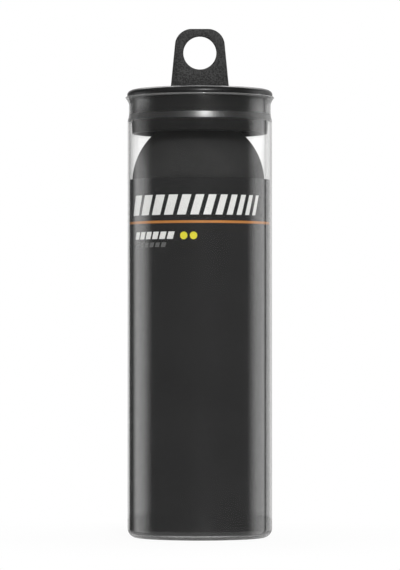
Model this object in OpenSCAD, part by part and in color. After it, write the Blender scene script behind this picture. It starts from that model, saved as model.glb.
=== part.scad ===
// Hanging tube pack of three squash balls, standing upright on its base.
// Origin at the centre of the standing plane, +Z up, the printed front faces -Y.

/* [Balls] */
// Outer diameter of one ball
ball_d = 40; // [36:0.1:44]
// Thickness of the rubber wall of a ball
ball_wall = 5.1; // [3:0.1:8]
// Thickness of the glue line between two half shells
bond_t = 0.2; // [0.1:0.05:0.5]
// Free height under each ball, down to the seat or the next ball
ball_gap = 0.2; // [0.2:0.05:1]
// Free space between a ball and the rolled label
ball_play = 0.8; // [0.5:0.05:1.5]
// How far the upper balls rest to one side of the tube's axis
ball_lean = 0.45; // [0:0.05:0.45]
// Free height between the top ball and the roof of the lid
headroom = 5; // [3:0.1:12]

/* [Tube] */
// Wall of the clear tube
tube_wall = 0.5; // [0.4:0.05:1.4]
// Thickness of the tube's floor
floor_t = 0.8; // [0.6:0.05:1.6]
// Radius of the rounded bottom corner
corner_r = 2.4; // [1.6:0.1:4]
// Radius of the corner inside the foot
foot_in_r = 1; // [0.6:0.1:2]
// Height of the seat pushed up in the middle of the base
seat_h = 6.6; // [4:0.1:10]
// Diameter of the flat seat under the bottom ball
seat_d = 11; // [6:0.5:16]
// Width of the slope round the seat
seat_slope_w = 8; // [5:0.5:9]
// Diameter of the moulding gate's dimple under the seat
gate_d = 3; // [1:0.5:5]
// Depth of the moulding gate's dimple
gate_depth = 0.3; // [0.1:0.05:0.5]
// How far the neck is drawn in from the tube's wall
neck_in = 0.4; // [0.1:0.05:0.5]
// Height of the drawn-in neck under the lip
neck_h = 3.3; // [1:0.1:5]
// Height over which the tube draws in to the neck
shoulder_h = 1.4; // [1:0.1:4]
// How far the lip stands out from the tube's wall
lip_out = 0.65; // [0.2:0.05:1.5]
// Height of the flare under the lip
flare_h = 2.3; // [1:0.1:3]
// Height of the lip's straight edge
lip_edge = 0.3; // [0.2:0.05:1]
// Thickness of the flared lip at its top
lip_wall = 0.85; // [0.6:0.05:1.5]

/* [Label] */
// Thickness of the printed sheet
label_t = 0.2; // [0.15:0.05:0.4]
// Space between the rolled sheet and the tube's wall
label_fit = 0.1; // [0.1:0.05:0.6]
// Space between the two layers where the sheet overlaps
lap_gap = 0.05; // [0.02:0.01:0.2]
// Width of the overlap at the back
lap_w = 5; // [3:0.5:10]
// Width of the crease that joins the outer layer to the inner one
lap_step = 1; // [0.5:0.1:2]
// Distance from the sheet's top edge up to the lid's skirt
label_drop = 14; // [6:0.5:24]
// Space between the sheet's bottom edge and the tube's floor
label_lift = 0.6; // [0.6:0.1:3]

/* [Lid] */
// Depth of the skirt that plugs the tube, from the lip down
skirt_depth = 11.2; // [8:0.1:16]
// Wall of the skirt
skirt_wall = 1.2; // [0.8:0.1:1.8]
// Space between the skirt's bead and the neck
bead_fit = 0.12; // [0.1:0.01:0.3]
// How far the bead stands out from the skirt
bead_out = 0.2; // [0.1:0.05:0.6]
// Height of the bead round the skirt
bead_h = 1.6; // [1:0.1:2.4]
// Height of the bead's middle above the skirt's lower edge
bead_z = 5.5; // [3:0.1:8]
// How far the skirt draws in towards its lower edge
skirt_taper = 0.15; // [0.05:0.05:0.4]
// Height of the flange over the tube's lip
flange_h = 2; // [1.6:0.1:4]
// How far the flange stands in from the tube's lip
flange_in = 0.5; // [0:0.05:0.8]
// Height of the flange's upright edge, below its domed top
flange_edge_h = 0.7; // [0.4:0.1:1.2]
// Width of the raised rim round the lid's top, out to the tube's lip
rim_w = 2.8; // [2:0.1:4]
// Width of the rim's flat top inside its domed part
rim_flat_w = 0.2; // [0.1:0.05:0.6]
// Depth of the recess that the folded tab lies in
recess_depth = 1.5; // [1:0.1:2.5]
// Thickness of the lid's roof
roof_t = 1.5; // [1:0.1:2.4]

/* [Hang tab] */
// Width of the tab at its foot
tab_foot_w = 17.8; // [12:0.1:24]
// Lean of each side of the tab, in degrees
tab_lean = 5.6; // [0:0.1:10]
// Thickness of the tab
tab_t = 1.6; // [1:0.1:2]
// Radius of the tab's upper corners
tab_corner_r = 5; // [1:0.1:5.5]
// Diameter of the hanging hole
hole_d = 10; // [6:0.1:12]
// Distance from the hole's edge to the tab's top
hole_top_w = 2.3; // [1:0.1:4]
// Space between the folded tab's end and the rim
tab_end_gap = 0.8; // [0.4:0.1:2]
// Space between the folded tab and the recess floor
tab_floor_gap = 0.5; // [0.4:0.05:1]
// Thickness of the thin hinge under the tab
hinge_t = 0.5; // [0.3:0.05:0.8]
// How far the hinge is set in from each end of the tab's foot
hinge_inset = 2; // [1:0.1:4]
// Half height of the tab's open foot above the fold line
hinge_rise = 0.35; // [0.3:0.05:0.6]

/* [Hidden] */
$fn = 96;
arc_steps = 8;
shoulder_bend_share = 0.25;

ball_r = ball_d / 2;
ball_pitch = ball_d + ball_gap;
ball_count = 3;
ball_side_shares = [0, 1, -1];
first_ball_z = seat_h + ball_gap + ball_r;

lap_in_r = ball_r + ball_play;
lap_out_r = lap_in_r + label_t;
sheet_in_r = lap_out_r + lap_gap;
sheet_out_r = sheet_in_r + label_t;
bore_r = sheet_out_r + label_fit;
tube_r = bore_r + tube_wall;
neck_r = tube_r - neck_in;
neck_bore_r = bore_r - neck_in;
lip_r = tube_r + lip_out;

roof_under_z = seat_h + ball_count * ball_pitch + headroom;
recess_z = roof_under_z + roof_t;
flange_top_z = recess_z + recess_depth;
tube_h = flange_top_z - flange_h;
flare_z = tube_h - lip_edge - flare_h;
shoulder_top_z = flare_z - neck_h;
shoulder_z = shoulder_top_z - shoulder_h;
stand_in_r = seat_d / 2 + seat_slope_w;

bead_r = neck_bore_r - bead_fit;
skirt_r = bead_r - bead_out;
skirt_foot_r = skirt_r - skirt_taper;
skirt_in_r = skirt_foot_r - skirt_wall;
skirt_z = tube_h - skirt_depth;
bead_mid_z = skirt_z + bead_z;
recess_r = lip_r - rim_w;
flange_r = lip_r - flange_in;

label_z = floor_t + label_lift;
label_top_z = skirt_z - label_drop;

fold_z = recess_z + tab_floor_gap + tab_t / 2;
tab_foot_z = fold_z + hinge_rise;
tab_top_z = fold_z + recess_r - tab_end_gap;
hole_z = tab_top_z - hole_top_w - hole_d / 2;
overrun = tab_t;

// Points on an arc about [x, y] from one angle to another
function arc(x, y, r, from, to) =
    [for (i = [0 : arc_steps]) let (a = from + (to - from) * i / arc_steps)
        [x + r * cos(a), y + r * sin(a)]];

// Points on a smooth S-curve from one point to another, level with the first axis at both ends
function easing(p, q) =
    [for (i = [0 : arc_steps]) let (t = i / arc_steps)
        [p[0] + (q[0] - p[0]) * (1 - cos(180 * t)) / 2, p[1] + (q[1] - p[1]) * t]];

// An S-curve, upright at both ends, that is steepest low down, at its bend
function shoulder(p, q) =
    let (bend = shoulder_bend_share, rest = 1 - bend)
    [for (i = [0 : 2 * arc_steps])
        let (t = i / (2 * arc_steps),
            low = bend * (1 - cos(90 * t / bend)),
            high = bend + rest * sin(90 * (t - bend) / rest))
        [p[0] + (q[0] - p[0]) * (t < bend ? low : high), p[1] + (q[1] - p[1]) * t]];

// The plain S-curve turned, level with the second axis at both ends
function easing_level(p, q) =
    [for (i = [0 : arc_steps]) let (t = i / arc_steps)
        [p[0] + (q[0] - p[0]) * t, p[1] + (q[1] - p[1]) * (1 - cos(180 * t)) / 2]];

// A flare that starts upright and ends leaning outwards
function flare(p, q) =
    [for (i = [0 : arc_steps]) let (t = i / arc_steps)
        [p[0] + (q[0] - p[0]) * (1 - cos(90 * t)), p[1] + (q[1] - p[1]) * t]];

// A dome's edge that starts level at p and ends upright at q
function dome(p, q) =
    [for (i = [0 : arc_steps]) let (a = 90 * i / arc_steps)
        [p[0] + (q[0] - p[0]) * sin(a), q[1] + (p[1] - q[1]) * cos(a)]];

function reversed(points) = [for (i = [len(points) - 1 : -1 : 0]) points[i]];

// Clear tube: rounded foot, seat pushed up in the base, drawn-in neck and a flared lip
module clear_tube() {
    seat_r = seat_d / 2;
    outside = concat(
        easing_level([seat_r, seat_h - floor_t], [stand_in_r, 0]),
        arc(tube_r - corner_r, corner_r, corner_r, -90, 0),
        shoulder([tube_r, shoulder_z], [neck_r, shoulder_top_z]),
        flare([neck_r, flare_z], [lip_r, tube_h - lip_edge]),
        [[lip_r, tube_h]]);
    inside = concat(
        reversed(flare([neck_bore_r, flare_z], [lip_r - lip_wall, tube_h])),
        reversed(shoulder([bore_r, shoulder_z], [neck_bore_r, shoulder_top_z])),
        arc(bore_r - foot_in_r, floor_t + foot_in_r, foot_in_r, 0, -90),
        easing_level([stand_in_r, floor_t], [seat_r, seat_h]));
    color([0.93, 0.95, 0.96, 0.35])
    difference() {
        rotate_extrude()
            polygon(concat([[0, seat_h - floor_t]], outside, inside, [[0, seat_h]]));
        translate([0, 0, seat_h - floor_t - gate_depth])
            cylinder(h = 2 * gate_depth, d = gate_d);
    }
}

// Slice of a turn between two angles counted from the back seam, wide enough for any ring here
module slice(from, to) {
    reach = 2 * tube_r;
    polygon([[0, 0],
        [reach * cos(90 + from), reach * sin(90 + from)],
        [reach * cos(90 + to), reach * sin(90 + to)]]);
}

// Flat ring between two radii
module ring(in_r, out_r) {
    difference() {
        circle(r = out_r);
        circle(r = in_r);
    }
}

// Printed label: a sheet rolled inside the tube, its inner end lapped under the outer one
module label_sheet() {
    seam_turn = 360 * 4 * lap_gap / (2 * PI * sheet_in_r);
    lap_turn = 360 * lap_w / (2 * PI * lap_out_r);
    step_turn = 360 * lap_step / (2 * PI * lap_out_r);
    color([0.16, 0.16, 0.17])
    translate([0, 0, label_z])
    linear_extrude(height = label_top_z - label_z)
    union() {
        difference() {
            ring(sheet_in_r, sheet_out_r);
            slice(-seam_turn, 0);
        }
        intersection() {
            ring(lap_in_r + label_t / 2, sheet_out_r - label_t / 2);
            slice(step_turn / 2, step_turn);
        }
        intersection() {
            ring(lap_in_r, lap_out_r);
            slice(-lap_turn, step_turn * 3 / 2);
        }
    }
}

// Lid: hollow plug with a beaded skirt, a flange over the tube's lip and a recessed top
module lid() {
    half_bead = bead_h / 2;
    bead_side = bead_out;
    skirt_side = [
        [skirt_in_r, roof_under_z],
        [skirt_in_r, skirt_z + skirt_taper],
        [skirt_in_r + skirt_taper, skirt_z],
        [skirt_foot_r - skirt_taper, skirt_z],
        [skirt_foot_r, skirt_z + skirt_taper],
        [skirt_r, bead_mid_z - half_bead - bead_side]];
    bead_side_points = concat(
        easing([skirt_r, bead_mid_z - half_bead], [bead_r, bead_mid_z]),
        easing([bead_r, bead_mid_z], [skirt_r, bead_mid_z + half_bead]));
    flange_side = concat(
        [[skirt_r, tube_h], [flange_r, tube_h]],
        reversed(dome([recess_r + rim_flat_w, flange_top_z], [flange_r, tube_h + flange_edge_h])));
    color([0.2, 0.2, 0.21])
    rotate_extrude()
        polygon(concat([[0, roof_under_z]], skirt_side, bead_side_points, flange_side,
            [[recess_r, flange_top_z], [recess_r, recess_z], [0, recess_z]]));
}

// Outline of the tab in the plane of its face, foot at y = 0, leaning sides and round upper corners
module tab_outline() {
    height = tab_top_z - tab_foot_z;
    foot_half = tab_foot_w / 2;
    top_half = foot_half - height * tan(tab_lean);
    corner_x = top_half - tab_corner_r * (1 - sin(tab_lean)) / cos(tab_lean);
    corner_y = height - tab_corner_r;
    right_side = concat([[foot_half, 0]],
        arc(corner_x, corner_y, tab_corner_r, tab_lean, 90));
    left_side = [for (p = reversed(right_side)) [-p[0], p[1]]];
    polygon(concat(right_side, left_side));
}

// Hang tab: a flat plate with leaning sides and a round hole for a peg
module hang_tab() {
    color([0.24, 0.24, 0.25])
    difference() {
        translate([0, tab_t / 2, tab_foot_z])
        rotate([90, 0, 0])
        linear_extrude(height = tab_t)
            tab_outline();
        translate([0, tab_t / 2 + overrun, hole_z])
        rotate([90, 0, 0])
            cylinder(h = tab_t + 2 * overrun, d = hole_d);
    }
}

// Thin strip that joins the tab's foot to the recess floor and bends when the tab folds
module hinge_web() {
    web_w = tab_foot_w - 2 * hinge_inset;
    color([0.22, 0.22, 0.23])
    translate([-web_w / 2, -hinge_t / 2, recess_z])
        cube([web_w, hinge_t, tab_foot_z - recess_z]);
}

// Half shell of the ball at a place in the stack; side is 1 for the upper half, -1 for the lower
module ball_half(place, side) {
    color([0.13, 0.13, 0.14])
    translate([ball_lean * ball_side_shares[place], 0, first_ball_z + place * ball_pitch])
    difference() {
        sphere(r = ball_r);
        sphere(r = ball_r - ball_wall);
        translate([-ball_d, -ball_d, side > 0 ? bond_t / 2 - 2 * ball_d : -bond_t / 2])
            cube(2 * ball_d);
    }
}

// Glue line between the two half shells of the ball at a place in the stack
module ball_bond(place) {
    color([0.3, 0.28, 0.26])
    translate([ball_lean * ball_side_shares[place], 0, first_ball_z + place * ball_pitch - bond_t / 2])
    difference() {
        cylinder(h = bond_t, r = ball_r - bond_t);
        translate([0, 0, -bond_t])
            cylinder(h = 3 * bond_t, r = ball_r - ball_wall + bond_t);
    }
}

clear_tube();
label_sheet();
lid();
hang_tab();
hinge_web();
ball_half(0, -1);  // bottom_ball_lower_half
ball_half(0, 1);  // bottom_ball_upper_half
ball_bond(0);  // bottom_ball_bond
ball_half(1, -1);  // middle_ball_lower_half
ball_half(1, 1);  // middle_ball_upper_half
ball_bond(1);  // middle_ball_bond
ball_half(2, -1);  // top_ball_lower_half
ball_half(2, 1);  // top_ball_upper_half
ball_bond(2);  // top_ball_bond
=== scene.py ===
import math

import bpy
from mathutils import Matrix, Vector


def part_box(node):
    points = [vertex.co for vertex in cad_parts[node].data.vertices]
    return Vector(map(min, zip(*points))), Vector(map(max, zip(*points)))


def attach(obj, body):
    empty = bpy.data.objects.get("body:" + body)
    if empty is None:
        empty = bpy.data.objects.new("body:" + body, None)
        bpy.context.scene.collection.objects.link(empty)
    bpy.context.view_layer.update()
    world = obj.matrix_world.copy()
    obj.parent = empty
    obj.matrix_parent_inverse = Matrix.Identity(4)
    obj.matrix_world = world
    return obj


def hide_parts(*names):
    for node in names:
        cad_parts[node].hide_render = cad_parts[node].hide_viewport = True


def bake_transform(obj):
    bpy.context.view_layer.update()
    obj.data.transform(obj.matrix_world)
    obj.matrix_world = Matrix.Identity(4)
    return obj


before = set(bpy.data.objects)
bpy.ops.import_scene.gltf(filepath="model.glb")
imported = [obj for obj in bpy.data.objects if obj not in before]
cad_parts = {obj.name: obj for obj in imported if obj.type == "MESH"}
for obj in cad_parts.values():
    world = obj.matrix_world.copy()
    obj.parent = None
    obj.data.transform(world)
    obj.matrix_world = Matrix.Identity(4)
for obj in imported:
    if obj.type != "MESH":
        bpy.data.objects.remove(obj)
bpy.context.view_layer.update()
mm = 0.001

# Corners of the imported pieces, in metres, and the heights and radii that they give, in millimetres
_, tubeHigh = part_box("clear_tube")
labelLow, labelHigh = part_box("label_sheet")
lidLow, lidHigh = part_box("lid")
tabLow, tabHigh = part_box("hang_tab")
webLow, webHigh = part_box("hinge_web")
lipRadius = tubeHigh.x / mm
tubeTop = tubeHigh.z / mm
labelRadius = labelHigh.x / mm
labelBottom = labelLow.z / mm
labelTop = labelHigh.z / mm
skirtBottom = lidLow.z / mm
flangeTop = lidHigh.z / mm
recessFloor = webLow.z / mm

tiny = 1e-6  # metres that count as nothing
facing = 0.9  # a face looks one way when its normal goes at least this far that way


# Small tools for modelling

def clearSelection():
    if bpy.context.mode != "OBJECT":
        bpy.ops.object.mode_set(mode="OBJECT")
    bpy.ops.object.select_all(action="DESELECT")
    bpy.context.view_layer.objects.active = None


def choose(piece):
    clearSelection()
    piece.select_set(True)
    bpy.context.view_layer.objects.active = piece


def nameActive(name):
    piece = bpy.context.active_object
    piece.name = name
    piece.data.name = name
    return piece


def applyPlace(piece):
    choose(piece)
    bpy.ops.object.transform_apply(location=True, rotation=True, scale=True)


def addPlate(name, place, scale, rotation=(0, 0, 0)):  # the plane operator ignores its own scale
    clearSelection()
    bpy.ops.mesh.primitive_plane_add(size=1, location=place, rotation=rotation)
    piece = nameActive(name)
    piece.scale = (*scale, 1)
    applyPlace(piece)
    return piece


def addModifier(piece, kind, **settings):
    choose(piece)
    modifier = piece.modifiers.new(kind.title(), kind)
    for key, value in settings.items():
        setattr(modifier, key, value)
    bpy.ops.object.modifier_apply(modifier=modifier.name)


def smooth(piece, angle=35):
    choose(piece)
    bpy.ops.object.shade_smooth_by_angle(angle=math.radians(angle))


def pickFaces(piece, wanted):  # leaves the piece in edit mode with the wanted faces selected
    choose(piece)
    bpy.ops.object.mode_set(mode="EDIT")
    bpy.ops.mesh.select_mode(type="FACE")
    bpy.ops.mesh.select_all(action="DESELECT")
    bpy.ops.object.mode_set(mode="OBJECT")
    for face in piece.data.polygons:
        face.select = wanted(face)
    bpy.ops.object.mode_set(mode="EDIT")


def tidyNormals(piece, gap=0.002):
    choose(piece)
    bpy.ops.object.mode_set(mode="EDIT")
    bpy.ops.mesh.select_all(action="SELECT")
    bpy.ops.mesh.remove_doubles(threshold=gap * mm)
    bpy.ops.mesh.normals_make_consistent(inside=False)
    bpy.ops.object.mode_set(mode="OBJECT")


def arc(x, z, radius, start, end, steps=10):
    return [(x + radius * math.cos(math.radians(start + (end - start) * i / steps)),
             z + radius * math.sin(math.radians(start + (end - start) * i / steps)))
            for i in range(steps + 1)]


def easeUpright(p, q, steps=14):  # S-curve, upright at both ends
    return [(p[0] + (q[0] - p[0]) * (1 - math.cos(math.pi * i / steps)) / 2,
             p[1] + (q[1] - p[1]) * i / steps) for i in range(steps + 1)]


def shoulderCurve(p, q, steps=28):  # leans in evenly with soft ends, and more in its low share
    leans = []
    for step in range(steps):
        share = (step + 0.5) / steps
        ends = min(1.0, share / tube["softLow"], (1 - share) / tube["softHigh"])
        leans.append(ends * (tube["lowLean"] if share < tube["lowShare"] else 1.0))
    points, done = [p], 0.0
    for step, lean in enumerate(leans):
        done += lean / sum(leans)
        points.append((p[0] + done * (q[0] - p[0]), p[1] + (step + 1) / steps * (q[1] - p[1])))
    return points


def easeLevel(p, q, steps=14):  # S-curve, level at both ends
    return [(p[0] + (q[0] - p[0]) * i / steps,
             p[1] + (q[1] - p[1]) * (1 - math.cos(math.pi * i / steps)) / 2) for i in range(steps + 1)]


def domeEdge(p, q, steps=14):  # quarter of an oval, upright at p and level at q
    return [(q[0] + (p[0] - q[0]) * math.cos(math.pi / 2 * i / steps),
             p[1] + (q[1] - p[1]) * math.sin(math.pi / 2 * i / steps)) for i in range(steps + 1)]


def flareOut(p, q, steps=12):  # starts upright and leans outwards
    return [(p[0] + (q[0] - p[0]) * (1 - math.cos(math.pi / 2 * i / steps)),
             p[1] + (q[1] - p[1]) * i / steps) for i in range(steps + 1)]


def drawLine(name, points, leastStep=1e-5):  # one vertex, drawn on from point to point
    clearSelection()
    bpy.ops.mesh.primitive_plane_add(size=mm, location=(0, 0, 0))
    piece = nameActive(name)
    bpy.ops.object.mode_set(mode="EDIT")
    bpy.ops.mesh.select_mode(type="VERT")
    bpy.ops.mesh.select_all(action="SELECT")
    bpy.ops.mesh.merge(type="CENTER")
    last = Vector(points[0])
    bpy.ops.transform.translate(value=last * mm)
    for point in points[1:]:
        step = Vector(point) - last
        if step.length > leastStep:
            bpy.ops.mesh.extrude_region_move(TRANSFORM_OT_translate={"value": step * mm})
            last = Vector(point)
    return piece


def drawOutline(name, points, closed):  # half section of a turned piece, in radius and height
    points = points + points[:1] if closed else points
    return drawLine(name, [(x, 0, z) for x, z in points])


def joinPieces(pieces, name):
    clearSelection()
    for piece in pieces:
        piece.select_set(True)
    bpy.context.view_layer.objects.active = pieces[0]
    if len(pieces) > 1:
        bpy.ops.object.join()
    return nameActive(name)


def turn(name, points, closed=True, steps=160):
    piece = drawOutline(name, points, closed)
    bpy.ops.mesh.select_all(action="SELECT")
    bpy.ops.mesh.spin(steps=steps, angle=math.tau, center=(0, 0, 0), axis=(0, 0, 1))
    tidyNormals(piece)
    smooth(piece)
    return piece


# Material tools

def startMaterial(name):
    material = bpy.data.materials.new(name)
    material.use_nodes = True
    tree = material.node_tree
    shader = tree.nodes["Principled BSDF"]
    shader.location = (200, 0)
    return material, tree, shader


def addNode(tree, kind, **inputs):
    node = tree.nodes.new(kind)
    for key, value in inputs.items():
        node.inputs[key.replace("_", " ")].default_value = value
    return node


def placeNode(tree):
    return tree.nodes.new("ShaderNodeTexCoord").outputs["Object"]


def noiseNode(tree, place, scale, detail=4.0, roughness=0.55):
    node = addNode(tree, "ShaderNodeTexNoise", Scale=scale, Detail=detail, Roughness=roughness)
    tree.links.new(place, node.inputs["Vector"])
    return node.outputs["Fac"]


def spread(tree, value, low, high, fromLow=0.3, fromHigh=0.7, shape="LINEAR"):
    node = tree.nodes.new("ShaderNodeMapRange")
    node.interpolation_type = shape
    node.inputs["From Min"].default_value = fromLow
    node.inputs["From Max"].default_value = fromHigh
    node.inputs["To Min"].default_value = low
    node.inputs["To Max"].default_value = high
    tree.links.new(value, node.inputs["Value"])
    return node.outputs["Result"]


def joinValues(tree, operation, first, second):
    node = tree.nodes.new("ShaderNodeMath")
    node.operation = operation
    for socket, value in zip(node.inputs, (first, second)):
        if isinstance(value, float):
            socket.default_value = value
        else:
            tree.links.new(value, socket)
    return node.outputs[0]


def mixColours(tree, share, first, second):
    node = tree.nodes.new("ShaderNodeMix")
    node.data_type = "RGBA"
    tree.links.new(share, node.inputs["Factor"])
    for socket, value in ((node.inputs["A"], first), (node.inputs["B"], second)):
        if isinstance(value, tuple):
            socket.default_value = (*value, 1)
        else:
            tree.links.new(value, socket)
    return node.outputs["Result"]


def mixShaders(tree, share, first, second):
    mix = tree.nodes.new("ShaderNodeMixShader")
    tree.links.new(share, mix.inputs["Fac"])
    tree.links.new(first.outputs[0], mix.inputs[1])
    tree.links.new(second.outputs[0], mix.inputs[2])
    return mix


def clouded(tree, cloud, colours):  # drifts between two colours
    return mixColours(tree, spread(tree, cloud, 0.0, 1.0), *colours)


def byHeight(tree, place, low, high, start, end):  # changes from one value to another between two heights
    split = tree.nodes.new("ShaderNodeSeparateXYZ")
    tree.links.new(place, split.inputs["Vector"])
    return spread(tree, split.outputs["Z"], low, high, start * mm, end * mm)


def addBump(tree, shader, height, finish):
    node = addNode(tree, "ShaderNodeBump", Strength=finish["bump"], Distance=finish["bumpDepth"] * mm)
    tree.links.new(height, node.inputs["Height"])
    tree.links.new(node.outputs["Normal"], shader.inputs["Normal"])


def showShader(tree, shader):
    tree.links.new(shader.outputs[0], tree.nodes["Material Output"].inputs["Surface"])


def wearMask(tree, place, scale, low, high):  # sparse specks from fine noise
    return spread(tree, noiseNode(tree, place, scale, detail=6.0, roughness=0.7), 0.0, 1.0, low, high)


# Camera first: a long lens a little below the middle of the pack
camera = dict(distance=1090.0, height=58.0, across=0.05, aim=76.3, lens=227.4, seesFrom=10, seesTo=20000)


def addCamera():
    clearSelection()
    start = Vector((camera["across"], -camera["distance"], camera["height"])) * mm
    target = Vector((camera["across"], 0, camera["aim"])) * mm
    bpy.ops.object.camera_add(location=start)
    eye = bpy.context.active_object
    eye.name = "photoCamera"
    eye.rotation_euler = (target - start).to_track_quat("-Z", "Y").to_euler()
    eye.data.lens = camera["lens"]
    eye.data.clip_start = camera["seesFrom"] * mm
    eye.data.clip_end = camera["seesTo"] * mm
    bpy.context.scene.camera = eye
    print("camera placed")


addCamera()

# Clear tube
tube = dict(wall=0.5, floor=0.8, cornerRadius=2.8, innerCorner=1.2, seatHeight=6.6, seatRadius=5.5,
            slopeWidth=8.0, gateRadius=1.5, gateDepth=0.3, neckIn=0.4, neckHeight=2.85, shoulderHeight=1.85,
            lowShare=0.38, lowLean=1.35, softLow=0.08, softHigh=0.06, lipOut=0.65, flareHeight=2.3,
            lipEdge=0.3, lipWall=0.85, steps=192)
# The whitish bands at the foot and lip are painted light: a painted reflection of the floor at the foot and a
# painted highlight on the lip.
plastic = dict(tints=((1.0, 1.0, 0.996), (0.99, 0.99, 0.986)), cloud=60, swirl=45, refraction=1.5,
               scuffs=900, scuffRare=0.62, scuffSure=0.8, polished=0.015, scuffed=0.09,
               bendHaze=0.3, bendFrom=125.2, bendFull=126.0, neckHaze=0.11, bendTo=127.6, neckFull=128.1,
               footHaze=0.22, footFull=1.0, footTo=1.8, footPaintedReflection=0.1, footReflectionFull=0.6, footReflectionTo=1.0,
               lipPaintedHighlight=0.1, lipFrom=132.75, lipFull=132.9, veilLow=0.00264, veilHigh=0.00396,
               milkAndPaintedLight=(0.8, 0.8, 0.79, 1), passes=(0.95, 0.95, 0.945, 1), bump=0.03, bumpDepth=0.4)


def makeClearTube():
    radius = lipRadius - tube["lipOut"]
    bore = radius - tube["wall"]
    neck = radius - tube["neckIn"]
    neckBore = bore - tube["neckIn"]
    flareFrom = tubeTop - tube["lipEdge"] - tube["flareHeight"]
    shoulderTop = flareFrom - tube["neckHeight"]
    shoulderLow = shoulderTop - tube["shoulderHeight"]
    standIn = tube["seatRadius"] + tube["slopeWidth"]
    seatUnder = tube["seatHeight"] - tube["floor"]
    corner, innerCorner = tube["cornerRadius"], tube["innerCorner"]
    lipRound = tube["lipEdge"] / 2
    gate, gateTop = tube["gateRadius"], seatUnder + tube["gateDepth"]
    # From the gate mark up the outside to the lip, then down the inside to the seat
    outline = [(0, gateTop), (gate - tube["gateDepth"], gateTop), (gate, seatUnder)]
    outline += easeLevel((tube["seatRadius"], seatUnder), (standIn, 0))
    outline += arc(radius - corner, corner, corner, -90, 0, 14)
    outline += shoulderCurve((radius, shoulderLow), (neck, shoulderTop))
    outline += flareOut((neck, flareFrom), (lipRadius, tubeTop - tube["lipEdge"]))
    outline += arc(lipRadius - lipRound, tubeTop - lipRound, lipRound, 0, 90, 5)
    outline += flareOut((neckBore, flareFrom), (lipRadius - tube["lipWall"], tubeTop))[::-1]
    outline += shoulderCurve((bore, shoulderLow), (neckBore, shoulderTop))[::-1]
    outline += arc(bore - innerCorner, tube["floor"] + innerCorner, innerCorner, 0, -90, 12)
    outline += easeLevel((standIn, tube["floor"]), (tube["seatRadius"], tube["seatHeight"]))
    outline += [(0, tube["seatHeight"])]
    piece = turn("clearTube", outline, closed=False, steps=tube["steps"])
    print("clear tube turned")
    return piece


def clearPlasticMaterial():  # polished, hazy where the neck and foot were formed, with painted light: a painted highlight as a whitish band on the lip and a painted reflection of the floor as a whitish band at the foot
    material, tree, shader = startMaterial("clearPlastic")
    place = placeNode(tree)
    cloud = noiseNode(tree, place, plastic["cloud"], detail=3.0)
    tree.links.new(clouded(tree, cloud, plastic["tints"]), shader.inputs["Base Color"])
    scuffs = wearMask(tree, place, plastic["scuffs"], plastic["scuffRare"], plastic["scuffSure"])
    polish = spread(tree, scuffs, plastic["polished"], plastic["scuffed"], 0.0, 1.0)
    bend = byHeight(tree, place, 0.0, plastic["bendHaze"], plastic["bendFrom"], plastic["bendFull"])
    less = byHeight(tree, place, 0.0, plastic["bendHaze"] - plastic["neckHaze"], plastic["bendTo"],
                    plastic["neckFull"])
    foot = byHeight(tree, place, plastic["footHaze"], 0.0, plastic["footFull"], plastic["footTo"])
    formed = joinValues(tree, "ADD", joinValues(tree, "SUBTRACT", bend, less), foot)
    tree.links.new(joinValues(tree, "ADD", polish, formed), shader.inputs["Roughness"])
    shader.inputs["IOR"].default_value = plastic["refraction"]
    shader.inputs["Transmission Weight"].default_value = 1.0
    addBump(tree, shader, noiseNode(tree, place, plastic["swirl"], detail=2.0), plastic)
    # A white diffuse layer: a faint milkiness everywhere, and painted light in bands at the lip and foot.
    milkAndPaintedLight = addNode(tree, "ShaderNodeBsdfDiffuse", Color=plastic["milkAndPaintedLight"])
    # Painted highlight: a whitish band on top of the lip stands in for the light line that the lip catches.
    lipHighlightShare = byHeight(tree, place, 0.0, plastic["lipPaintedHighlight"], plastic["lipFrom"], plastic["lipFull"])
    # Painted reflection: a whitish band at the very foot stands in for the floor's light mirrored there.
    footReflectionShare = byHeight(tree, place, plastic["footPaintedReflection"], 0.0, plastic["footReflectionFull"], plastic["footReflectionTo"])
    veil = spread(tree, cloud, plastic["veilLow"], plastic["veilHigh"])
    # The random milkiness, with the painted highlight at the lip and the painted reflection at the foot added
    # to it.
    veil = joinValues(tree, "ADD", joinValues(tree, "ADD", veil, lipHighlightShare), footReflectionShare)
    clear = mixShaders(tree, veil, shader, milkAndPaintedLight)
    passLight = addNode(tree, "ShaderNodeBsdfTransparent", Color=plastic["passes"])
    rays = tree.nodes.new("ShaderNodeLightPath")
    unseen = joinValues(tree, "MAXIMUM", rays.outputs["Is Shadow Ray"], rays.outputs["Is Diffuse Ray"])
    showShader(tree, mixShaders(tree, unseen, clear, passLight))
    return material


# Printed sheet, rolled with its inner end lapped under the outer one at the back
label = dict(thickness=0.2, lapGap=0.05, lapWidth=5.0, creaseWidth=1.0, seamGap=1.1, edgeRound=0.04,
             turnSteps=220, lapSteps=12)
film = dict(colours=((0.0165, 0.0165, 0.017), (0.02, 0.02, 0.0205)), cloud=30, grain=3500,
            roughness=(0.13, 0.18), bump=0.15, bumpDepth=0.03)


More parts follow.
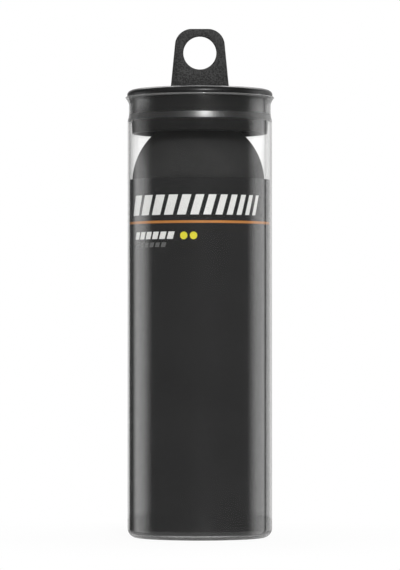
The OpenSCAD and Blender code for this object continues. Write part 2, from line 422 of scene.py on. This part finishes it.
def makeLabelSheet():
    outer = labelRadius
    inner = outer - label["thickness"]
    edge = label["edgeRound"]
    section = [(inner, labelBottom + edge), (inner + edge, labelBottom), (outer - edge, labelBottom),
               (outer, labelBottom + edge), (outer, labelTop - edge), (outer - edge, labelTop),
               (inner + edge, labelTop), (inner, labelTop - edge)]
    piece = drawOutline("labelSheet", section, closed=True)
    bpy.ops.mesh.select_all(action="SELECT")
    bpy.ops.mesh.remove_doubles(threshold=tiny)
    bpy.ops.mesh.edge_face_add()
    around = math.tau - label["seamGap"] / outer
    bpy.ops.mesh.spin(steps=label["turnSteps"], angle=around, center=(0, 0, 0), axis=(0, 0, 1))
    bpy.ops.object.mode_set(mode="OBJECT")
    # From its starting edge the sheet steps in and laps under its other edge
    pickFaces(piece, lambda face: abs(face.normal.y) > facing and abs(face.center.y) < tiny)
    inwards = label["thickness"] + label["lapGap"]
    bpy.ops.mesh.extrude_region_move(
        TRANSFORM_OT_translate={"value": (-inwards * mm, -label["creaseWidth"] * mm, 0)})
    bpy.ops.mesh.spin(steps=label["lapSteps"], angle=-label["lapWidth"] / inner, center=(0, 0, 0),
                      axis=(0, 0, 1))
    tidyNormals(piece)
    piece.rotation_euler = (0, 0, math.pi / 2)
    applyPlace(piece)
    smooth(piece, 30)
    print("label rolled")
    return piece


def printedFilmMaterial():
    material, tree, shader = startMaterial("printedFilm")
    place = placeNode(tree)
    cloud = noiseNode(tree, place, film["cloud"], detail=3.0)
    grain = noiseNode(tree, place, film["grain"], detail=2.0)
    tree.links.new(clouded(tree, cloud, film["colours"]), shader.inputs["Base Color"])
    tree.links.new(spread(tree, grain, *film["roughness"]), shader.inputs["Roughness"])
    addBump(tree, shader, grain, film)
    return material


# Lid: hollow plug, beaded skirt, flange over the lip, recessed top
lid = dict(skirtWall=1.2, beadFit=0.12, beadOut=0.2, beadHeight=1.6, beadAt=5.5, taper=0.15, flangeIn=0.5,
           flangeEdge=0.7, rimWidth=2.8, rimFlat=0.2, roofThickness=1.5, innerRound=0.9, edgeRound=0.15,
           rimRound=0.1, floorRound=0.3, footRound=0.4, crown=0.15, steps=192)
lidFinish = dict(colours=((0.009, 0.009, 0.009), (0.013, 0.013, 0.013)), cloud=70, grain=2600,
                 roughness=(0.26, 0.36), shineInside=0.07, shineAbove=0.45, shineReach=0.3,
                 bump=0.1, bumpDepth=0.03)


def makeLid():
    neckBore = lipRadius - tube["lipOut"] - tube["wall"] - tube["neckIn"]
    bead = neckBore - lid["beadFit"]
    skirt = bead - lid["beadOut"]
    foot = skirt - lid["taper"]
    inside = foot - lid["skirtWall"]
    beadMiddle = skirtBottom + lid["beadAt"]
    half = lid["beadHeight"] / 2
    roofUnder = recessFloor - lid["roofThickness"]
    rimInside = lipRadius - lid["rimWidth"]
    flange = lipRadius - lid["flangeIn"]
    edge, rim, corner = lid["edgeRound"], lid["rimRound"], lid["floorRound"]
    top = flangeTop + lid["crown"]
    footRound = lid["footRound"]
    # Down inside the hollow, round the foot, up over the bead, then over the flange into the recess
    outline = [(0, roofUnder)]
    outline += arc(inside - lid["innerRound"], roofUnder - lid["innerRound"], lid["innerRound"], 90, 0, 8)
    outline += arc(inside + footRound, skirtBottom + footRound, footRound, 180, 270, 6)
    outline += arc(foot - footRound, skirtBottom + footRound, footRound, -90, 0, 6)
    outline += [(skirt, beadMiddle - half - lid["beadOut"])]
    outline += easeUpright((skirt, beadMiddle - half), (bead, beadMiddle), 8)
    outline += easeUpright((bead, beadMiddle), (skirt, beadMiddle + half), 8)
    outline += [(skirt, tubeTop)]
    outline += arc(flange - edge, tubeTop + edge, edge, -90, 0, 4)
    outline += domeEdge((flange, tubeTop + lid["flangeEdge"]), (rimInside + lid["rimFlat"], top))
    outline += arc(rimInside + rim, top - rim, rim, 90, 180, 4)
    outline += arc(rimInside - corner, recessFloor + corner, corner, 0, -90, 5)
    outline += [(0, recessFloor)]
    piece = turn("lidPlug", outline, closed=False, steps=lid["steps"])
    print("lid turned")
    return piece


def blackLidMaterial():
    material, tree, shader = startMaterial("satinBlackLid")
    place = placeNode(tree)
    cloud = noiseNode(tree, place, lidFinish["cloud"], detail=3.0)
    tree.links.new(clouded(tree, cloud, lidFinish["colours"]), shader.inputs["Base Color"])
    grain = noiseNode(tree, place, lidFinish["grain"], detail=3.0)
    tree.links.new(spread(tree, grain, *lidFinish["roughness"]), shader.inputs["Roughness"])
    shine = byHeight(tree, place, lidFinish["shineInside"], lidFinish["shineAbove"],
                     tubeTop - lidFinish["shineReach"], tubeTop + lidFinish["shineReach"])
    tree.links.new(shine, shader.inputs["Specular IOR Level"])
    addBump(tree, shader, grain, lidFinish)
    return material


# Hang tab: leaning sides, round upper corners, round hole, softened edges
tab = dict(lean=5.6, cornerRadius=5.0, cornerSteps=20, holeDiameter=10.0, holeTopWidth=2.3, holeSteps=96,
           edgeRound=0.4, edgeSteps=3, edgeAngle=50)
tabFinish = dict(speckles=((0.0, 0.0, 0.0), (0.056, 0.056, 0.055)), speckleEdge=(0.46, 0.54),
                 plain=(0.014, 0.014, 0.014), plainShare=0.35, cloud=150, grain=3000,
                 roughness=(0.5, 0.75), bump=0.8, bumpDepth=0.15)


def makeHangTab():
    clearSelection()
    width = (tabHigh.x - tabLow.x) / mm
    thickness = (tabHigh.y - tabLow.y) / mm
    height = (tabHigh.z - tabLow.z) / mm
    middle = (tabHigh.z + tabLow.z) / 2
    bpy.ops.mesh.primitive_cube_add(size=1, location=(0, 0, middle),
                                    scale=(width * mm, thickness * mm, height * mm))
    piece = nameActive("hangTab")
    applyPlace(piece)
    # Leaning sides: the top face narrows about its middle
    topWidth = width - 2 * height * math.tan(math.radians(tab["lean"]))
    for vertex in piece.data.vertices:
        vertex.select = vertex.co.z > middle
    for edge in piece.data.edges:
        edge.select = all(piece.data.vertices[v].select for v in edge.vertices)
    for face in piece.data.polygons:
        face.select = face.normal.z > facing
    bpy.ops.object.mode_set(mode="EDIT")
    bpy.ops.transform.resize(value=(topWidth / width, 1, 1), center_override=(0, 0, tabHigh.z))
    bpy.ops.mesh.select_mode(type="EDGE")
    bpy.ops.mesh.select_all(action="DESELECT")
    bpy.ops.object.mode_set(mode="OBJECT")
    # Round upper corners: the two top edges that run from front to back
    vertices = piece.data.vertices
    for edge in piece.data.edges:
        a, b = (vertices[v].co for v in edge.vertices)
        edge.select = a.z > middle and b.z > middle and abs(a.x - b.x) < tiny
    bpy.ops.object.mode_set(mode="EDIT")
    setBack = tab["cornerRadius"] * math.tan(math.radians((90 - tab["lean"]) / 2))
    bpy.ops.mesh.bevel(offset=setBack * mm, segments=tab["cornerSteps"], profile=0.5)
    bpy.ops.object.mode_set(mode="OBJECT")
    # Hole, cut right through, and then every sharp edge softened
    holeRadius = tab["holeDiameter"] / 2
    holeHeight = tabHigh.z / mm - tab["holeTopWidth"] - holeRadius
    clearSelection()
    bpy.ops.mesh.primitive_cylinder_add(vertices=tab["holeSteps"], radius=holeRadius * mm,
                                        depth=4 * thickness * mm, location=(0, 0, holeHeight * mm),
                                        rotation=(math.pi / 2, 0, 0))
    cutter = nameActive("holeCutter")
    addModifier(piece, "BOOLEAN", operation="DIFFERENCE", object=cutter, solver="EXACT")
    bpy.data.objects.remove(cutter)
    addModifier(piece, "BEVEL", width=tab["edgeRound"] * mm, segments=tab["edgeSteps"],
                limit_method="ANGLE", angle_limit=math.radians(tab["edgeAngle"]), harden_normals=False)
    tidyNormals(piece, 0.001)
    smooth(piece, 40)
    print("hang tab cut")
    return piece


def grainedTabMaterial():
    material, tree, shader = startMaterial("grainedTab")
    place = placeNode(tree)
    grain = noiseNode(tree, place, tabFinish["grain"], detail=3.0, roughness=0.7)
    cloud = noiseNode(tree, place, tabFinish["cloud"], detail=3.0)
    specks = spread(tree, grain, 0.0, 1.0, *tabFinish["speckleEdge"])
    speckled = mixColours(tree, specks, *tabFinish["speckles"])
    base = mixColours(tree, spread(tree, cloud, 0.0, tabFinish["plainShare"]), speckled, tabFinish["plain"])
    tree.links.new(base, shader.inputs["Base Color"])
    tree.links.new(spread(tree, grain, *tabFinish["roughness"]), shader.inputs["Roughness"])
    addBump(tree, shader, grain, tabFinish)
    return material


# Thin hinge between the lid and the tab, thicker where it meets each of them
web = dict(thickness=0.5, footThickness=0.9, footReach=0.25, levels=14)


def makeHingeWeb():
    low, high = webLow.z / mm, webHigh.z / mm
    width = (webHigh.x - webLow.x) / mm
    piece = addPlate("hingeStrip", (0, 0, low * mm), (width * mm, web["footThickness"] * mm))
    bpy.ops.object.mode_set(mode="EDIT")
    bpy.ops.mesh.select_all(action="SELECT")
    wide = web["footThickness"]
    rise = (high - low) / web["levels"]
    for level in range(1, web["levels"] + 1):
        ends = (rise * level, rise * (web["levels"] - level))
        swell = sum(math.exp(-(end / web["footReach"]) ** 2) for end in ends)
        nextWide = web["thickness"] + (web["footThickness"] - web["thickness"]) * min(1, swell)
        bpy.ops.mesh.extrude_region_move(TRANSFORM_OT_translate={"value": (0, 0, rise * mm)})
        bpy.ops.transform.resize(value=(1, nextWide / wide, 1),
                                 center_override=(0, 0, (low + rise * level) * mm))
        wide = nextWide
    tidyNormals(piece, 0.001)
    smooth(piece, 45)
    print("hinge strip raised")
    return piece


# Balls: one half shell turned, then copied to each place
ball = dict(wall=5.1, bond=0.2, seamRound=0.12, seamStep=0.02, bondInset=0.1, steps=128)
ballBodies = ["bottom_ball", "middle_ball", "top_ball"]
rubberFinish = dict(colours=((0.019, 0.019, 0.0192), (0.028, 0.028, 0.028)), cloud=90,
                    dust=(0.12, 0.12, 0.118), dustShare=0.35, dustScale=1500, dustRare=0.58, dustSure=0.75,
                    grain=1400, roughness=(0.62, 0.8), shine=0.12, bump=0.35, bumpDepth=0.08)
glueFinish = dict(colours=((0.035, 0.033, 0.031), (0.055, 0.052, 0.048)), cloud=400, roughness=0.7,
                  bump=0.3, bumpDepth=0.05)


def ballPlace(body):  # middle and radius of a ball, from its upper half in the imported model
    low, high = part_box(body + "_upper_half")
    middle = Vector(((low.x + high.x) / 2, (low.y + high.y) / 2, low.z - ball["bond"] / 2 * mm))
    return middle, (high.x - low.x) / 2


ballRadius = ballPlace("top_ball")[1] / mm
ballDots = dict(diameter=2.6, lift=0.01, rise=1.002, apart=11.0, height=24.0,
                turned=dict(bottom_ball=150.0, middle_ball=-60.0, top_ball=195.0), domeSteps=8, steps=40)


def makeHalfShell():
    outer = ballRadius
    inner = outer - ball["wall"]
    low = ball["bond"] / 2
    soft = ball["seamRound"]
    startAngle = math.degrees(math.asin((low + soft) / outer))
    outline = [(0, outer)]
    outline += arc(0, 0, outer, 90, startAngle, 48)[1:]
    outline += arc(outer - soft - ball["seamStep"], low + soft, soft, 0, -90, 4)[1:]
    outline += [(inner + soft, low)]
    outline += arc(0, 0, inner, math.degrees(math.asin((low + soft) / inner)), 90, 24)
    return turn("halfShell", outline, closed=False, steps=ball["steps"])


def copyPiece(piece, name, move, turned=(0, 0, 0)):
    choose(piece)
    bpy.ops.object.duplicate(linked=False)
    copy = nameActive(name)
    copy.rotation_euler = turned
    copy.location = move
    applyPlace(copy)
    return copy


def makeBond():
    outer = ballRadius - ball["bondInset"]
    inner = ballRadius - ball["wall"] + ball["bondInset"]
    half = ball["bond"] / 2
    outline = [(inner, -half), (outer - half, -half)]
    outline += arc(outer - half, 0, half, -90, 90, 6)[1:]
    outline += [(inner, half)]
    return turn("gluedSeam", outline, closed=True, steps=ball["steps"])


def rubberMaterial():
    material, tree, shader = startMaterial("dustyRubber")
    place = placeNode(tree)
    cloud = noiseNode(tree, place, rubberFinish["cloud"], detail=5.0, roughness=0.65)
    base = clouded(tree, cloud, rubberFinish["colours"])
    dust = wearMask(tree, place, rubberFinish["dustScale"], rubberFinish["dustRare"],
                    rubberFinish["dustSure"])
    dustShare = spread(tree, dust, 0.0, rubberFinish["dustShare"], 0.0, 1.0)
    tree.links.new(mixColours(tree, dustShare, base, rubberFinish["dust"]), shader.inputs["Base Color"])
    grain = noiseNode(tree, place, rubberFinish["grain"])
    tree.links.new(spread(tree, grain, *rubberFinish["roughness"]), shader.inputs["Roughness"])
    shader.inputs["Specular IOR Level"].default_value = rubberFinish["shine"]
    addBump(tree, shader, grain, rubberFinish)
    return material


def glueMaterial():
    material, tree, shader = startMaterial("rubberGlue")
    place = placeNode(tree)
    cloud = noiseNode(tree, place, glueFinish["cloud"])
    tree.links.new(clouded(tree, cloud, glueFinish["colours"]), shader.inputs["Base Color"])
    shader.inputs["Roughness"].default_value = glueFinish["roughness"]
    addBump(tree, shader, cloud, glueFinish)
    return material


inks = dict(yellow=((0.79, 0.72, 0.022), (0.72, 0.65, 0.015)),
            orange=((0.5, 0.195, 0.032), (0.48, 0.18, 0.028)),
            white=((0.83, 0.83, 0.82), (0.77, 0.77, 0.76)),
            grey=((0.12, 0.12, 0.12), (0.095, 0.095, 0.095)), patches=600, roughness=(0.4, 0.55))


def inkMaterial(colour):  # print, a little uneven
    material, tree, shader = startMaterial(colour + "Ink")
    patch = noiseNode(tree, placeNode(tree), inks["patches"])
    tree.links.new(clouded(tree, patch, inks[colour]), shader.inputs["Base Color"])
    tree.links.new(spread(tree, patch, *inks["roughness"]), shader.inputs["Roughness"])
    return material


def dress(piece, material, body=None):
    piece.data.materials.clear()
    piece.data.materials.append(material)
    if body:
        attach(piece, body)


rubber = rubberMaterial()
glue = glueMaterial()
clearPlastic = clearPlasticMaterial()
printedFilm = printedFilmMaterial()
lidBlack = blackLidMaterial()
tabBlack = grainedTabMaterial()
yellow = inkMaterial("yellow")

tubePiece = makeClearTube()
dress(tubePiece, clearPlastic, "tube")
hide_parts("clear_tube")

labelPiece = makeLabelSheet()
dress(labelPiece, printedFilm, "tube")
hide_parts("label_sheet")

lidPiece = makeLid()
dress(lidPiece, lidBlack, "lid")
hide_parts("lid")

tabPiece = makeHangTab()
dress(tabPiece, tabBlack, "hang_tab")
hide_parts("hang_tab")

webPiece = makeHingeWeb()
dress(webPiece, tabBlack)
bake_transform(webPiece)
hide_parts("hinge_web")


def makeBallDots():  # two thin round prints side by side above the seam
    radius, half = ballRadius + ballDots["lift"], ballDots["diameter"] / 2 / ballRadius
    angles = [half * step / ballDots["domeSteps"] for step in range(ballDots["domeSteps"] + 1)]
    under = [(radius * math.sin(angle), radius * math.cos(angle)) for angle in angles]
    over = [(x * ballDots["rise"], z * ballDots["rise"]) for x, z in under[:-1]]
    pieces = []
    for side in (-1, 1):
        piece = turn("ballDot", under + over[::-1], closed=False, steps=ballDots["steps"])
        tipped, apart = math.radians(90 - ballDots["height"]), math.radians(side * ballDots["apart"] / 2)
        piece.rotation_euler = (tipped, 0, apart)
        applyPlace(piece)
        pieces.append(piece)
    return joinPieces(pieces, "ballDots")


def makeBalls():
    shell = makeHalfShell()
    seam = makeBond()
    dots = makeBallDots()
    for body in ballBodies:
        middle, _ = ballPlace(body)
        name = body.split("_")[0]
        for part, over, node in (("UpperHalf", 0, "upper_half"), ("LowerHalf", math.pi, "lower_half")):
            half = copyPiece(shell, name + "Ball" + part, middle, (over, 0, 0))
            smooth(half)
            dress(half, rubber, body)
            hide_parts(body + "_" + node)
        bond = copyPiece(seam, name + "BallSeam", middle)
        smooth(bond)
        dress(bond, glue, body)
        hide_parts(body + "_bond")
        around = math.radians(ballDots["turned"][body])
        marks = copyPiece(dots, name + "BallDots", middle, (0, 0, around))
        smooth(marks)
        dress(marks, yellow, body)
    bpy.data.objects.remove(shell)
    bpy.data.objects.remove(seam)
    bpy.data.objects.remove(dots)
    print("balls stacked")


makeBalls()

# Print on the sheet: thin ink laid on its outer face. Each row of bars starts at leftMargin, in degrees
# round from the middle of the front, and slant is how far the big bars lean over.
ink = dict(thickness=0.03, lift=0.005)
stripe = dict(middle=94.8, width=0.76, steps=220)
barRows = dict(leftMargin=-57.8, slant=1.7, levels=6, stepWidth=0.6)
bigBars = dict(low=96.9, high=102.9, count=12, firstWidth=3.45, lastWidth=1.35, gap=1.15)
smallBars = dict(low=89.7, high=91.9, count=6, firstWidth=1.95, lastWidth=1.95, gap=0.7)
greyBars = dict(low=87.3, high=88.7, count=6, firstWidth=1.5, lastWidth=1.5, gap=0.65)
yellowDots = dict(diameter=2.3, height=90.7, turned=(-12.9, -5.0), standOff=1.0, steps=48, cuts=3)


def frontPoint(radius, degrees, height):  # counted from the front, positive to the right
    around = math.radians(degrees)
    return radius * math.sin(around), -radius * math.cos(around), height


def layInk(piece):  # flat ink gets its thickness outwards
    addModifier(piece, "SOLIDIFY", thickness=ink["thickness"] * mm, offset=1)
    smooth(piece, 30)
    return piece


def makeStripe():
    inner = labelRadius + ink["lift"]
    outer = inner + ink["thickness"]
    low, high = stripe["middle"] - stripe["width"] / 2, stripe["middle"] + stripe["width"] / 2
    outline = [(inner, low), (outer, low), (outer, high), (inner, high)]
    return turn("orangeStripe", outline, closed=True, steps=stripe["steps"])


def makeBars(name, bars):  # slanted bars, each a leaning line swept round the sheet
    radius = labelRadius + ink["lift"]
    perDegree = radius * math.radians(1)
    height = bars["high"] - bars["low"]
    lean = barRows["slant"] * height / (bigBars["high"] - bigBars["low"])
    levels = [level / barRows["levels"] for level in range(barRows["levels"] + 1)]
    start = barRows["leftMargin"]
    pieces = []
    for number in range(bars["count"]):
        share = number / (bars["count"] - 1)
        width = bars["firstWidth"] + (bars["lastWidth"] - bars["firstWidth"]) * share
        line = [frontPoint(radius, start + lean * level / perDegree, bars["low"] + height * level)
                for level in levels]
        piece = drawLine(name, line)
        bpy.ops.mesh.select_all(action="SELECT")
        bpy.ops.mesh.spin(steps=max(2, round(width / barRows["stepWidth"])), angle=width / radius,
                          center=(0, 0, 0), axis=(0, 0, 1))
        bpy.ops.object.mode_set(mode="OBJECT")
        pieces.append(piece)
        start += (width + bars["gap"]) / perDegree
    piece = joinPieces(pieces, name)
    tidyNormals(piece)
    return layInk(piece)


def makeLabelDots():
    pieces = []
    for place in yellowDots["turned"]:
        clearSelection()
        spot = Vector(frontPoint(labelRadius + yellowDots["standOff"], place, yellowDots["height"])) * mm
        bpy.ops.mesh.primitive_circle_add(vertices=yellowDots["steps"], fill_type="TRIFAN", location=spot,
                                          radius=yellowDots["diameter"] / 2 * mm,
                                          rotation=(math.pi / 2, 0, math.radians(place)))
        piece = nameActive("labelDot")
        applyPlace(piece)
        bpy.ops.object.mode_set(mode="EDIT")
        bpy.ops.mesh.select_all(action="SELECT")
        bpy.ops.mesh.subdivide(number_cuts=yellowDots["cuts"])
        bpy.ops.object.mode_set(mode="OBJECT")
        pieces.append(piece)
    piece = joinPieces(pieces, "labelDots")
    addModifier(piece, "SHRINKWRAP", target=labelPiece, wrap_method="NEAREST_SURFACEPOINT",
                wrap_mode="ABOVE_SURFACE", offset=ink["lift"] * mm)
    return layInk(piece)


def printLabel():
    orange, white, grey = inkMaterial("orange"), inkMaterial("white"), inkMaterial("grey")
    for piece, material in ((makeStripe(), orange), (makeBars("bigBars", bigBars), white),
                            (makeBars("smallBars", smallBars), white),
                            (makeBars("greyBars", greyBars), grey), (makeLabelDots(), yellow)):
        dress(piece, material, "tube")
    print("label printed")


printLabel()

# Floor and backdrop: pale, white to the camera and through the clear plastic, and greyer in reflections
stagePaint = dict(colours=((0.8, 0.8, 0.8), (0.78, 0.78, 0.78)), cloud=6, roughness=0.9)
# In reflections the floor shows a painted glow for its light. The glow is brightest near the object and fades
# out at its rim, with painted shade under the object's foot.
floorSet = dict(radius=110.0, steps=96, below=0.02, shade=0.08, shadeIn=0.6, mirrored=0.75, mirroredEdge=0.05,
                mirroredIn=0.65, paintedShadeUnderFoot=0.15, footRim=0.817, footInside=0.827,
                polish=(0.8, 0.8, 0.8, 1), polishRough=0.12, slantFrom=0.74, slantFull=0.9)
backdropSet = dict(distance=2600.0, left=-1213.0, right=2791.0, low=-867.0, high=2773.0, mirrored=0.66)
world = dict(level=0.62, mirrored=0.06)  # its light, and what reflections find; the camera sees white


def whiteWhenSeen(tree, otherwise):  # 1 for the camera, also through clear plastic, but not off a surface
    rays = tree.nodes.new("ShaderNodeLightPath")
    seen = joinValues(tree, "MAXIMUM", rays.outputs["Is Camera Ray"], rays.outputs["Is Transmission Ray"])
    bounced = joinValues(tree, "ADD", rays.outputs["Glossy Depth"], rays.outputs["Diffuse Depth"])
    straight = joinValues(tree, "MULTIPLY", seen, joinValues(tree, "LESS_THAN", bounced, 0.5))
    node = addNode(tree, "ShaderNodeMix", Factor=0.0, A=0.0, B=1.0)
    tree.links.new(straight, node.inputs["Factor"])
    if isinstance(otherwise, float):
        node.inputs["A"].default_value = otherwise
    else:
        tree.links.new(otherwise, node.inputs["A"])
    return node.outputs["Result"]


def stageColour(tree, place, shader):
    cloud = noiseNode(tree, place, stagePaint["cloud"], detail=2.0)
    tree.links.new(clouded(tree, cloud, stagePaint["colours"]), shader.inputs["Base Color"])
    shader.inputs["Roughness"].default_value = stagePaint["roughness"]
    shader.inputs["Specular IOR Level"].default_value = 0.0


def paleFloorMaterial():  # white with a faint shade near the object; in reflections, polished at a slant and elsewhere a painted glow for the lit floor, with painted shade under the foot
    material, tree, shader = startMaterial("paleFloor")
    place = placeNode(tree)
    stageColour(tree, place, shader)
    glow = addNode(tree, "ShaderNodeEmission", Color=(1, 1, 1, 1), Strength=1.0)
    disc = tree.nodes.new("ShaderNodeTexGradient")
    disc.gradient_type = "SPHERICAL"
    scale = addNode(tree, "ShaderNodeMapping", Scale=(1 / (floorSet["radius"] * mm),) * 3)
    tree.links.new(place, scale.inputs["Vector"])
    tree.links.new(scale.outputs["Vector"], disc.inputs["Vector"])
    near = disc.outputs["Fac"]  # 0 at the floor's edge, 1 under the object's middle
    white = spread(tree, near, 1.0, 1 - floorSet["shade"], 0.0, floorSet["shadeIn"])
    seen = joinValues(tree, "MULTIPLY", whiteWhenSeen(tree, 0.0), white)
    polish = addNode(tree, "ShaderNodeBsdfGlossy", Color=floorSet["polish"],
                     Roughness=floorSet["polishRough"])
    # Painted reflection: in reflections the floor is a glow that stands in for its lit surface.
    reflectedGlow = addNode(tree, "ShaderNodeEmission", Color=(1, 1, 1, 1))
    slant = addNode(tree, "ShaderNodeLayerWeight", Blend=0.5).outputs["Facing"]
    # The painted glow is brightest near the object and falls to the world's level at the rim.
    around = spread(tree, near, world["mirrored"], floorSet["mirrored"], floorSet["mirroredEdge"],
                    floorSet["mirroredIn"])
    # Painted shade: the glow darkens under the object's foot, where no light gets in.
    foot = spread(tree, near, 1.0, floorSet["paintedShadeUnderFoot"], floorSet["footRim"], floorSet["footInside"])
    tree.links.new(joinValues(tree, "MULTIPLY", around, foot), reflectedGlow.inputs["Strength"])
    steep = spread(tree, slant, 0.0, 1.0, floorSet["slantFrom"], floorSet["slantFull"])
    glowAndPolish = mixShaders(tree, steep, reflectedGlow, polish)
    rays = tree.nodes.new("ShaderNodeLightPath")
    bounced = joinValues(tree, "GREATER_THAN", rays.outputs["Glossy Depth"], 0.5)
    mirrored = joinValues(tree, "MULTIPLY", rays.outputs["Is Glossy Ray"], bounced)
    showShader(tree, mixShaders(tree, mirrored, mixShaders(tree, seen, shader, glow), glowAndPolish))
    return material


def paleBackdropMaterial():
    material, tree, shader = startMaterial("paleBackdrop")
    stageColour(tree, placeNode(tree), shader)
    glow = addNode(tree, "ShaderNodeEmission", Color=(1, 1, 1, 1))
    tree.links.new(whiteWhenSeen(tree, backdropSet["mirrored"]), glow.inputs["Strength"])
    rays = tree.nodes.new("ShaderNodeLightPath")
    seen = joinValues(tree, "MAXIMUM", rays.outputs["Is Camera Ray"], rays.outputs["Is Glossy Ray"])
    seen = joinValues(tree, "MAXIMUM", seen, rays.outputs["Is Transmission Ray"])
    showShader(tree, mixShaders(tree, seen, shader, glow))
    return material


def makeStage():
    clearSelection()
    bpy.ops.mesh.primitive_circle_add(vertices=floorSet["steps"], radius=floorSet["radius"] * mm,
                                      fill_type="NGON", location=(0, 0, -floorSet["below"] * mm))
    floor = nameActive("floor")
    applyPlace(floor)
    floor.data.materials.append(paleFloorMaterial())
    left, right = backdropSet["left"], backdropSet["right"]
    low, high = backdropSet["low"], backdropSet["high"]
    middle = ((left + right) / 2 * mm, backdropSet["distance"] * mm, (low + high) / 2 * mm)
    backdrop = addPlate("backdrop", middle, ((right - left) * mm, (high - low) * mm), (math.pi / 2, 0, 0))
    backdrop.data.materials.append(paleBackdropMaterial())
    print("stage set")


makeStage()

# Lamps: a large soft box on each side, a small round key high in front, a box behind, a broad fill above.
# Across, a side box comes up from its front edge and fades at its back one: soft says where, in shares.
# Upwards, its strength changes at boxHeights, in shares too: by atNeck where the neck mirrors it, and by
# above on top of that where the shoulder does.
lamps = [
    dict(name="leftBox", azimuth=-109.5, elevation=2, distance=1000, width=1155, height=1000, radiance=1.06,
         soft=(0.0, 0.45, 0.6, 0.95), atNeck=0.5, above=0.1),
    dict(name="rightBox", azimuth=107, elevation=2, distance=1000, width=1019, height=1000, radiance=1.0,
         soft=(0.0, 0.46, 0.74, 0.93), atNeck=1.4, above=1.0),
    dict(name="highKey", azimuth=8, elevation=27, distance=1200, width=280, height=140, radiance=73,
         round=True),
    dict(name="backBox", azimuth=180, elevation=44, distance=1200, width=900, height=260, radiance=6),
    dict(name="broadFill", azimuth=-5, elevation=50, distance=1300, width=2600, height=1200, radiance=0.2),
]
boxHeights = dict(neckLow=0.583, neckHigh=0.6, aboveLow=0.61, aboveHigh=0.66)
lampAim = 70.0  # height that the lamps point at


def softenLamp(light, lamp):
    light.use_nodes = True
    tree = light.node_tree
    place = tree.nodes.new("ShaderNodeNewGeometry").outputs["Parametric"]
    split = tree.nodes.new("ShaderNodeSeparateXYZ")
    tree.links.new(place, split.inputs["Vector"])
    across, up = split.outputs["X"], split.outputs["Y"]  # on the left, across starts at the back edge
    rise, full, fall, end = lamp["soft"] if lamp["azimuth"] > 0 else [1 - step for step in lamp["soft"]]
    front = spread(tree, across, 0.0, 1.0, rise, full, "SMOOTHSTEP")
    back = spread(tree, across, 0.0, 1.0, end, fall, "SMOOTHSTEP")
    neck = spread(tree, up, 1.0, lamp["atNeck"], boxHeights["neckLow"], boxHeights["neckHigh"])
    above = spread(tree, up, 1.0, lamp["above"], boxHeights["aboveLow"], boxHeights["aboveHigh"])
    strength = joinValues(tree, "MULTIPLY", joinValues(tree, "MULTIPLY", front, back),
                          joinValues(tree, "MULTIPLY", neck, above))
    tree.links.new(strength, tree.nodes["Emission"].inputs["Strength"])


def addLamps():
    aim = Vector((0, 0, lampAim * mm))
    for lamp in lamps:
        around, up = math.radians(lamp["azimuth"]), math.radians(lamp["elevation"])
        towards = Vector((math.sin(around) * math.cos(up), -math.cos(around) * math.cos(up), math.sin(up)))
        clearSelection()
        bpy.ops.object.light_add(type="AREA", location=aim + towards * lamp["distance"] * mm)
        light = bpy.context.active_object
        light.name = lamp["name"]
        light.rotation_euler = towards.to_track_quat("Z", "Y").to_euler()
        light.data.shape = "ELLIPSE" if "round" in lamp else "RECTANGLE"
        light.data.size = lamp["width"] * mm
        light.data.size_y = lamp["height"] * mm
        area = light.data.size * light.data.size_y * (math.pi / 4 if "round" in lamp else 1)
        light.data.energy = lamp["radiance"] * math.pi * area
        if "soft" in lamp:
            softenLamp(light.data, lamp)
    print("lamps placed")


def setWorld():
    studio = bpy.data.worlds.new("studio")
    bpy.context.scene.world = studio
    studio.use_nodes = True
    tree = studio.node_tree
    plain = tree.nodes["Background"]
    plain.inputs["Color"].default_value = (1, 1, 1, 1)
    mirrored = tree.nodes.new("ShaderNodeLightPath").outputs["Is Glossy Ray"]
    level = spread(tree, mirrored, world["level"], world["mirrored"], 0.0, 1.0)
    tree.links.new(whiteWhenSeen(tree, level), plain.inputs["Strength"])
    print("world set")


addLamps()
setWorld()
bpy.context.scene.view_settings.view_transform = "Standard"
